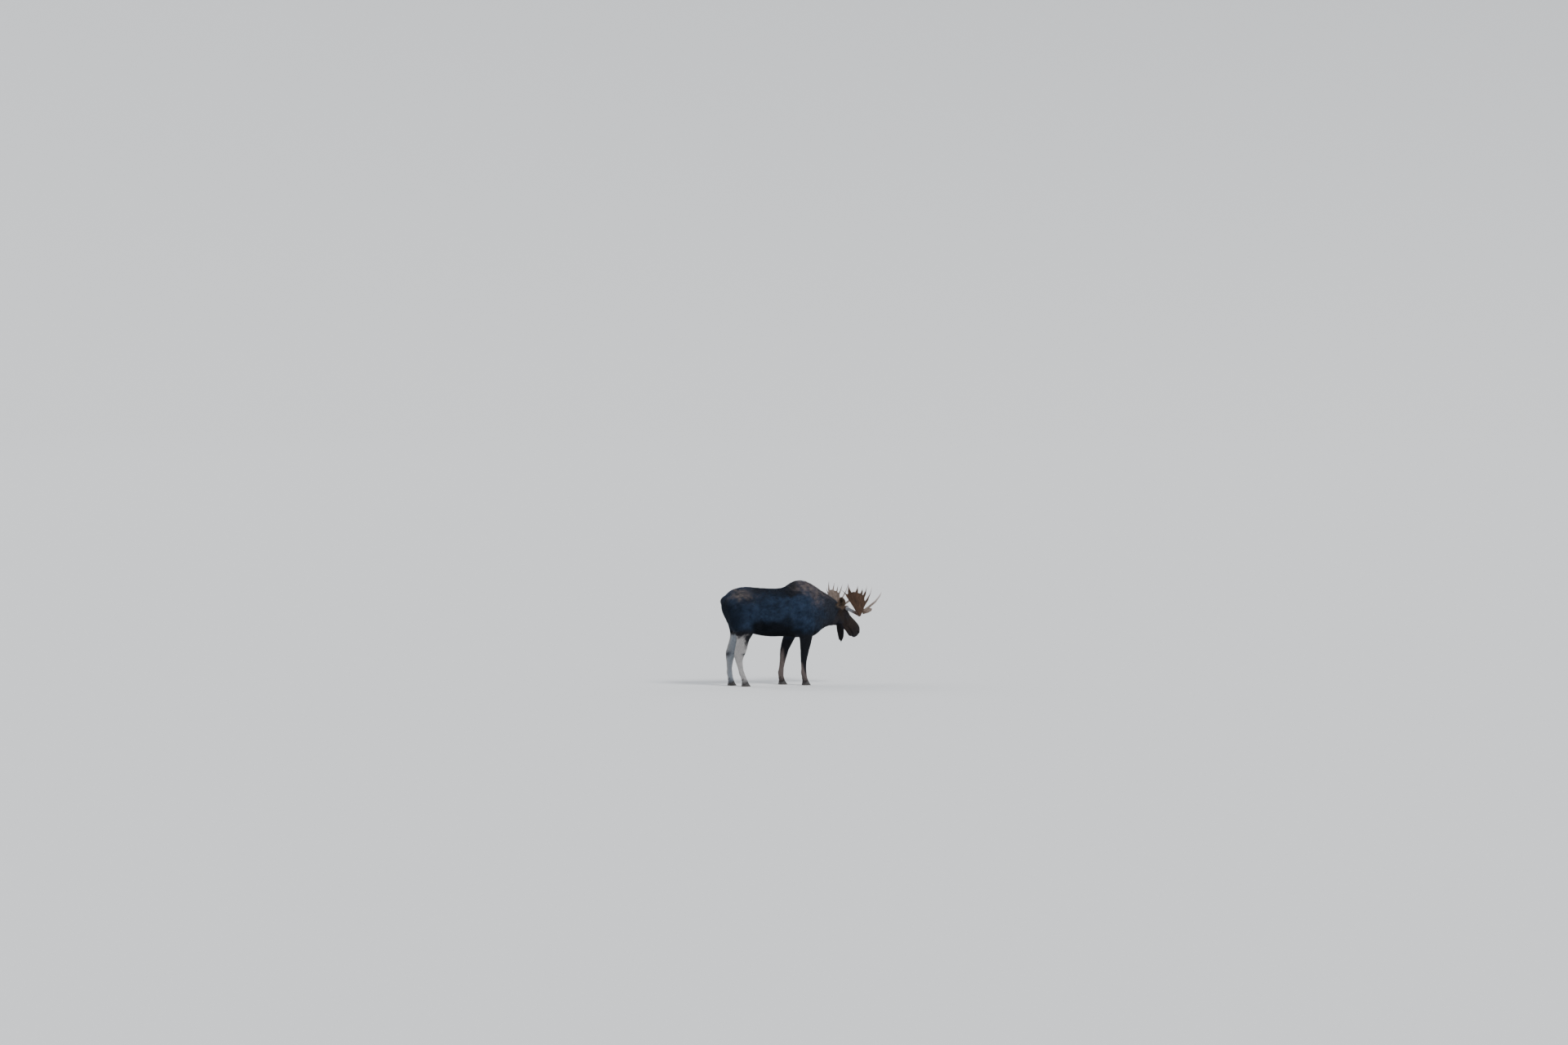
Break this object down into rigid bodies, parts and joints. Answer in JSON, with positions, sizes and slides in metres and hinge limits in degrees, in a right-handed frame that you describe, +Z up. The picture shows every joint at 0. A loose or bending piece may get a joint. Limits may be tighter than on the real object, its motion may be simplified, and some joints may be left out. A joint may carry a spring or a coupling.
{
  "type": "bull moose",
  "caption": "Still life-size bull moose, standing in mid-stride with head lowered and turned, palmed antlers and throat bell.",
  "frame": {"origin": "on the floor, under the middle of the whole moose's box", "axes": "+X the way the trunk faces, from rump to chest; +Y the moose's left; +Z up"},
  "size_m": [2.8704, 0.8948, 1.845],
  "materials": {
    "body_coat": "dense dark hair",
    "face_coat": "short dark brown hair",
    "ear_coat": "short tan hair, darker inside",
    "leg_coat": "short pale grey hair, darker higher up",
    "antler": "grooved bone, brown with paler polished points",
    "horn": "dark ridged horn",
    "eye": "wet dark brown"
  },
  "bodies": {
    "root": {"antler_left_beam": "antler", "antler_left_brow": "antler", "antler_left_palm": "antler", "antler_right_beam": "antler", "antler_right_brow": "antler", "antler_right_palm": "antler", "bell": "body_coat", "ear_left": "ear_coat", "ear_right": "ear_coat", "eye_left": "eye", "eye_right": "eye", "front_dewclaw_left_inner": "horn", "front_dewclaw_left_outer": "horn", "front_dewclaw_right_inner": "horn", "front_dewclaw_right_outer": "horn", "front_hoof_left_inner": "horn", "front_hoof_left_outer": "horn", "front_hoof_right_inner": "horn", "front_hoof_right_outer": "horn", "front_leg_left": "leg_coat", "front_leg_right": "leg_coat", "head": "face_coat", "hind_dewclaw_left_inner": "horn", "hind_dewclaw_left_outer": "horn", "hind_dewclaw_right_inner": "horn", "hind_dewclaw_right_outer": "horn", "hind_hoof_left_inner": "horn", "hind_hoof_left_outer": "horn", "hind_hoof_right_inner": "horn", "hind_hoof_right_outer": "horn", "hind_leg_left": "leg_coat", "hind_leg_right": "leg_coat", "lower_jaw": "face_coat", "neck": "body_coat", "tail": "body_coat", "trunk": "body_coat"}
  },
  "joints": []
}
